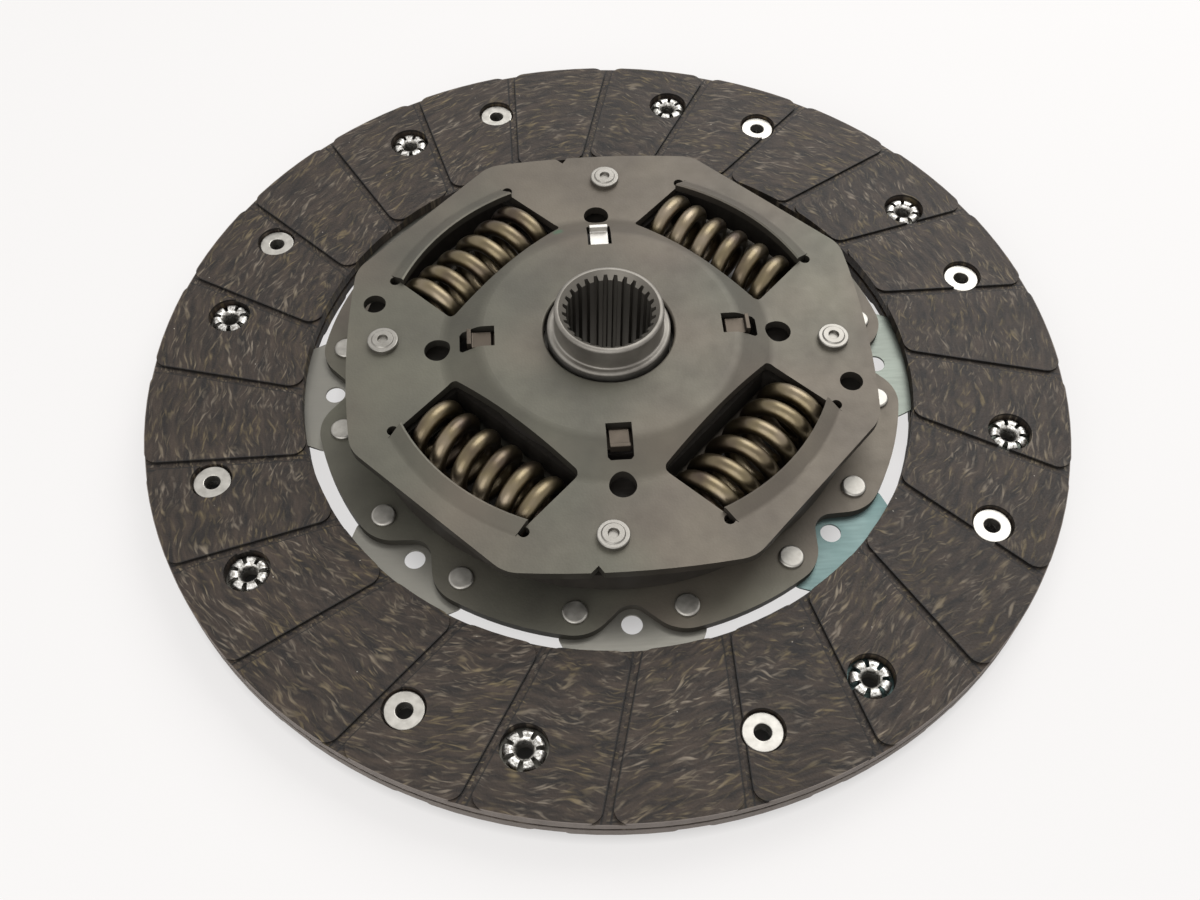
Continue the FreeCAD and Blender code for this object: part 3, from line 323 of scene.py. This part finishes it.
# Main springs: four coils of 4.4 mm oil-tempered chrome-silicon wire, ends closed and ground.
# The heat leaves a golden to brown oxide under a thin film of oil, so highlights are sharp.
# Each coil shortens between the window ends as the damper turns.
def coil_surface(wire, outer_r, length, active, along=60, round_wire=24):
    """Coil along Z about the origin, with two closed turns besides the active ones. The wire's
    centre runs round a circle while its height is the sum of the pitch over the turns: one wire
    thickness in the end turns, more in between. A circle carried along that path is the wire, and
    heights beyond the ends are cut flat, as if ground. It has along points to a turn of the coil
    and round_wire points round the wire."""
    mean = outer_r - wire / 2
    turns = active + 2
    ground_off = 0.35 * wire
    closed = 0.6
    opening_over = 0.8
    span = length + 2 * ground_off - wire
    t = np.linspace(0, turns, int(turns * along) + 1)
    middle = (t[1:] + t[:-1]) / 2
    share = np.clip((np.minimum(middle, turns - middle) - closed) / opening_over, 0, 1)
    opening = share * share * (3 - 2 * share)
    step = turns / len(middle)
    extra = (span - wire * turns) / (opening.sum() * step)
    climb = np.concatenate([[0], np.cumsum((wire + extra * opening) * step)])
    height = climb + wire / 2 - ground_off
    turn = 2 * np.pi * t
    path = np.stack([mean * np.cos(turn), mean * np.sin(turn), height], 1)
    run = np.gradient(path, axis=0)
    run /= np.linalg.norm(run, axis=1)[:, None]
    out = np.stack([np.cos(turn), np.sin(turn), 0 * turn], 1)
    up = np.cross(run, out)
    bend = 2 * np.pi * np.arange(round_wire) / round_wire
    ring = out[:, None] * np.cos(bend)[None, :, None] + up[:, None] * np.sin(bend)[None, :, None]
    points = path[:, None] + wire / 2 * ring
    points[..., 2] = np.clip(points[..., 2], 0, length) - length / 2
    rows = len(t)
    i = np.arange(rows - 1)[:, None] * round_wire
    j = np.arange(round_wire)[None]
    nxt = (j + 1) % round_wire
    sides = np.stack([i + j, i + round_wire + j, i + round_wire + nxt, i + nxt], -1).reshape(-1, 4)
    first_end = list(range(round_wire))
    last_end = list(range(rows * round_wire - 1, (rows - 1) * round_wire - 1, -1))
    return points.reshape(-1, 3), sides.tolist() + [first_end, last_end]


def lay_spring(name, points, faces, seat_radius, level, degrees):
    """Turns a coil from Z to the tangent at a radius and angle, and makes its mesh there. The
    coil's X goes outwards, its Z along the tangent and its Y down, which keeps it right-hand."""
    turn = math.radians(degrees)
    out = np.array([math.cos(turn), math.sin(turn), 0.0])
    along = np.array([-math.sin(turn), math.cos(turn), 0.0])
    up = np.array([0, 0, 1.0])
    middle = seat_radius * out + level * up
    placed = points[:, :1] * out - points[:, 1:2] * up + points[:, 2:] * along + middle
    mesh = bpy.data.meshes.new(name)
    mesh.from_pydata(placed.tolist(), [], faces)
    mesh.shade_smooth()
    piece = bpy.data.objects.new(name, mesh)
    bpy.context.scene.collection.objects.link(piece)
    return piece, tuple(along), tuple(middle)


spring_oxide, tree, shader, place = finish_of("oil_tempered_wire")
# Oxide clouds of 13 mm, and shot-peening marks 0.7 mm apart
cloud = add(tree, "TexNoise", Vector=place, Scale=75.0, Detail=3.0).outputs["Fac"]
oxide = add(tree, "ValToRGB", in0=cloud,
            stops=((0.32, "4c4138"), (0.5, "6f644d"), (0.68, "867a6a"))).outputs[0]
peen = add(tree, "TexNoise", Vector=place, Scale=1400.0, Detail=2.0).outputs["Fac"]
put(tree, shader, Base_Color=oxide, Metallic=1.0, Coat_Weight=0.2, Coat_Roughness=0.12,
    Roughness=add(tree, "MapRange", Value=peen, To_Min=0.28, To_Max=0.46).outputs[0],
    Normal=add(tree, "Bump", Strength=0.25, Distance=0.00006, Height=peen).outputs[0])
coil, coil_faces = coil_surface(wire=0.0044, outer_r=0.0101, length=0.0418, active=4.4)
first_spring_degrees = 45
# The window ends lean towards the coil as the damper turns, so it keeps less than their gap
for k in range(4):
    piece, along, middle = lay_spring("damper_spring_%d" % (k + 1), coil, coil_faces, seat_radius=0.0464,
                                      level=0.01595, degrees=first_spring_degrees + 90 * k)
    piece.data.materials.append(spring_oxide)
    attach(piece, "main_springs")
    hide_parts("main_spring_%d" % (k + 1))
    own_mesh(piece)
    dress(spring_oxide, "main_spring_%d" % (k + 1))

# Idle springs: four small coils of 0.9 mm patented wire in the flange's pockets.
# Drawn wire is plain grey and smooth. They work while the gearbox idles.
idle_wire = spring_oxide.copy()
idle_wire.name = "drawn_spring_wire"
for node in idle_wire.node_tree.nodes:
    if node.bl_idname == "ShaderNodeValToRGB":
        for stop, tone in zip(node.color_ramp.elements, ("6a6964", "7d7c76", "8f8e88")):
            stop.color = linear(tone)
coil, coil_faces = coil_surface(wire=0.0009, outer_r=0.0026, length=0.0098, active=4.0, along=32,
                                round_wire=12)
for k in range(4):
    piece, along, middle = lay_spring("idle_coil_%d" % (k + 1), coil, coil_faces, seat_radius=0.024,
                                      level=0.01805, degrees=first_spring_degrees + 90 * k)
    piece.data.materials.append(idle_wire)
    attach(piece, "idle_springs")
    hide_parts("idle_spring_%d" % (k + 1))
    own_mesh(piece)
    dress(idle_wire, "idle_spring_%d" % (k + 1))

# Hub flange and idle plate: blanked thick steel, ground flat, then oiled.
# Ground steel shows fine scratches. Its tone is near-black, painted shade for the dark inside of the damper,
# with little metal in it.
flange_shade_steel, tree, shader, place = finish_of("blanked_flange_steel")
scratch = add(tree, "Mapping", Vector=place, Scale=(1.0, 9.0, 1.0)).outputs[0]
scratch = add(tree, "TexNoise", Vector=scratch, Scale=220.0, Detail=4.0).outputs["Fac"]
put(tree, shader, Metallic=0.1, Specular_IOR_Level=0.25,
    # Near-black tones: painted shade inside the damper
    Base_Color=add(tree, "ValToRGB", in0=scratch, stops=((0.0, "1c1916"), (1.0, "37332e"))).outputs[0],
    Roughness=add(tree, "MapRange", Value=scratch, To_Min=0.5, To_Max=0.65).outputs[0])
dress(flange_shade_steel, "hub_flange", "idle_plate")

# Hub: forged and turned steel with a broached spline, phosphated dark and oiled.
# Turning leaves rings 0.5 mm apart round the nose. Inside the spline's radius the tone is darker, painted
# shade of the deep bore.
spline_radius = 0.01265
hub_phosphate, tree, shader, place = finish_of("dark_turned_hub")
xyz = add(tree, "SeparateXYZ", in0=place)
rings = add(tree, "CombineXYZ", in2=xyz.outputs[2]).outputs[0]
rings = add(tree, "TexNoise", Vector=rings, Scale=2200.0, Detail=2.0).outputs["Fac"]
cloud = add(tree, "TexNoise", Vector=place, Scale=120.0, Detail=4.0).outputs["Fac"]
turned = add(tree, "ValToRGB", in0=cloud, stops=((0.3, "6f6b65"), (0.7, "8f8b84"))).outputs[0]
flat = add(tree, "CombineXYZ", in0=xyz.outputs[0], in1=xyz.outputs[1]).outputs[0]
radius = add(tree, "VectorMath", operation="LENGTH", in0=flat).outputs["Value"]
# Painted shade: the bore inside the spline's radius is darker
bore_shade = add(tree, "MapRange", Value=radius, From_Min=spline_radius - 0.0001,
               From_Max=spline_radius + 0.0001, To_Min=1.0, To_Max=0.0).outputs[0]
toned = add(tree, "Mix", data_type="RGBA", in0=bore_shade, in6=turned, in7=linear("6a665f")).outputs[2]
put(tree, shader, Base_Color=toned, Metallic=0.9,
    Roughness=add(tree, "MapRange", Value=rings, To_Min=0.42, To_Max=0.6).outputs[0],
    Normal=add(tree, "Bump", Strength=0.2, Distance=0.00006, Height=rings).outputs[0])
dress(hub_phosphate, "hub")

# Diaphragm spring and support ring: thin tempered sheet, satin brown-grey.
# The support ring's tabs stand up through the retaining plate's slots. Past 20 to 30 mm along Y, which takes
# in the tab furthest along Y, the sheet is painted near-white, a painted reflection.
sheet_steel, tree, shader, place = finish_of("tempered_sheet")
# Painted reflection: near-white past 20 to 30 mm along Y
tab_reflection = add(tree, "SeparateXYZ", in0=place).outputs[1]
tab_reflection = add(tree, "MapRange", Value=tab_reflection, From_Min=0.02, From_Max=0.03).outputs[0]
toned = add(tree, "Mix", data_type="RGBA", in0=tab_reflection, in6=linear("4d463e"), in7=linear("bdbab4")).outputs[2]
scratch = add(tree, "TexNoise", Vector=place, Scale=400.0, Detail=4.0).outputs["Fac"]
put(tree, shader, Base_Color=toned, Metallic=0.9,
    Roughness=add(tree, "MapRange", Value=scratch, To_Min=0.35, To_Max=0.55).outputs[0])
dress(sheet_steel, "diaphragm_spring", "support_ring")

# Friction rings and centring bush: moulded glass-filled nylon, dull, nearly hidden.
# Moulded plastic has an even grain, here 0.7 mm, and a weak broad sheen.
for name, tone in (("friction_ring_gearbox_side", "2f2b28"), ("friction_ring_flywheel_side", "2f2b28"),
                   ("centring_bush", "b3a88c")):
    moulded, tree, shader, place = finish_of("moulded_nylon_" + name)
    grain = add(tree, "TexNoise", Vector=place, Scale=1500.0, Detail=3.0).outputs["Fac"]
    put(tree, shader, Base_Color=linear(tone),
        Roughness=add(tree, "MapRange", Value=grain, To_Min=0.5, To_Max=0.7).outputs[0],
        Normal=add(tree, "Bump", Strength=0.2, Distance=0.0001, Height=grain).outputs[0])
    dress(moulded, name)


# Floor: a sheet of studio paper, which lights the disc as a plain grey one would.
# Rays from the camera, straight, off metal or through glass, meet a white glow on it as well, a
# little stronger far away. The glow is left out where the disc covers the paper.
def seen_directly(tree):
    """1 for rays from the camera, straight, off gloss or through glass, and 0 for other light."""
    rays = add(tree, "LightPath").outputs
    seen = add(tree, "Math", operation="MAXIMUM", in0=rays["Is Camera Ray"], in1=rays["Is Glossy Ray"])
    return add(tree, "Math", operation="MAXIMUM", in0=seen.outputs[0],
               in1=rays["Is Transmission Ray"]).outputs[0]


paper = bpy.data.materials.new("white_paper")
paper.use_nodes = True
tree = paper.node_tree
tree.nodes.clear()
spot = add(tree, "TexCoord").outputs["Object"]
away = add(tree, "VectorMath", operation="LENGTH", in0=spot).outputs["Value"]
# Uncovered are the gaps between plates and facings, the paper beyond the rim, and partly the bore
off_plates = add(tree, "MapRange", Value=away, From_Min=0.055, From_Max=0.074).outputs[0]
before_facings = add(tree, "MapRange", Value=away, From_Min=0.086, From_Max=0.089, To_Min=1.0,
                     To_Max=0.0).outputs[0]
clear = add(tree, "Math", operation="MULTIPLY", in0=off_plates, in1=before_facings).outputs[0]
past_rim = add(tree, "MapRange", Value=away, From_Min=0.111, From_Max=0.121).outputs[0]
clear = add(tree, "Math", operation="MAXIMUM", in0=clear, in1=past_rim).outputs[0]
in_bore = add(tree, "MapRange", Value=away, From_Min=0.0122, From_Max=0.0126, To_Min=0.6,
              To_Max=0.0).outputs[0]
clear = add(tree, "Math", operation="MAXIMUM", in0=clear, in1=in_bore).outputs[0]
seen = add(tree, "Math", operation="MULTIPLY", in0=seen_directly(tree), in1=clear).outputs[0]
glow_level = add(tree, "MapRange", Value=away, From_Min=0.25, From_Max=1.2, To_Min=0.675,
                 To_Max=0.83).outputs[0]
lift = add(tree, "Math", operation="MULTIPLY", in0=seen, in1=glow_level).outputs[0]
dull = add(tree, "BsdfDiffuse", Color=linear("8b8a89"))
glow = add(tree, "Emission", Color=(1.0, 0.983, 0.976, 1.0), Strength=lift)
both = add(tree, "AddShader", in0=dull.outputs[0], in1=glow.outputs[0])
# From beneath the paper isn't there, so that the flywheel side can be seen
beneath = add(tree, "NewGeometry").outputs["Backfacing"]
both = add(tree, "MixShader", in0=beneath, in1=both.outputs[0], in2=add(tree, "BsdfTransparent").outputs[0])
add(tree, "OutputMaterial", in0=both.outputs[0])
reach = 3
paper_level = -0.0002
corners = [(x * reach, y * reach, paper_level) for x, y in ((-1, -1), (1, -1), (1, 1), (-1, 1))]
mesh = bpy.data.meshes.new("studio_floor")
mesh.from_pydata(corners, [], [(0, 1, 2, 3)])
mesh.materials.append(paper)
floor = bpy.data.objects.new("studio_floor", mesh)
bpy.context.scene.collection.objects.link(floor)

# World: soft light from all sides at under half of white, and white where it is seen directly.
world = bpy.data.worlds.new("studio")
bpy.context.scene.world = world
world.use_nodes = True
tree = world.node_tree
tree.nodes.clear()
strength = add(tree, "MapRange", Value=seen_directly(tree), To_Min=0.45, To_Max=1.0).outputs[0]
sky = add(tree, "Background", Color=(1.0, 0.99, 0.986, 1.0), Strength=strength)
add(tree, "OutputWorld", in0=sky.outputs[0])

# Lamps: a large soft box high at the back right, and a weaker one at the front left.
box_size = 0.7
for name, spot, power in (("soft_box", (0.35, 0.5, 0.7), 6.0), ("fill_box", (-0.3, -0.6, 0.45), 3.0)):
    lamp = bpy.data.lights.new(name, "AREA")
    lamp.size = box_size
    lamp.energy = power
    holder = bpy.data.objects.new(name, lamp)
    holder.location = spot
    holder.rotation_euler = (-Vector(spot)).to_track_quat("-Z", "Y").to_euler()
    bpy.context.scene.collection.objects.link(holder)

# Camera: where the photograph was taken from, worked out from the disc's two rims.
# It aims at the level of the upper facing, 25 mm before the disc's middle, from 320 mm away.
# The part's own X lies 4.75 degrees off the picture's, so the whole view turns about Z.
raised = math.radians(56.49)
roll = math.radians(0.514)
view_turn = math.radians(-4.75)
upper_face = 0.0112
aim = Vector((-0.001934, -0.024873, 0.0))
distance = 0.32033
focal_pixels = 1265.65
photo_width = 1200
sensor = 36.0
back = Vector((0.0, -math.cos(raised), math.sin(raised)))
level_right = Vector((1.0, 0.0, 0.0))
level_up = Vector((0.0, math.sin(raised), math.cos(raised)))
right = level_right * math.cos(roll) + level_up * math.sin(roll)
up = -level_right * math.sin(roll) + level_up * math.cos(roll)
stand = Matrix.Translation(aim + back * distance)
turn = Matrix.Rotation(view_turn, 4, "Z")
axes = Matrix((right, up, back)).transposed().to_4x4()
lens = bpy.data.cameras.new("photo_view")
lens.sensor_width = sensor
lens.lens = focal_pixels / photo_width * sensor
lens.clip_start = 0.01
camera = bpy.data.objects.new("photo_view", lens)
bpy.context.scene.collection.objects.link(camera)
camera.matrix_world = Matrix.Translation((0, 0, upper_face)) @ turn @ stand @ axes
bpy.context.scene.camera = camera
bpy.context.scene.view_settings.view_transform = "Standard"
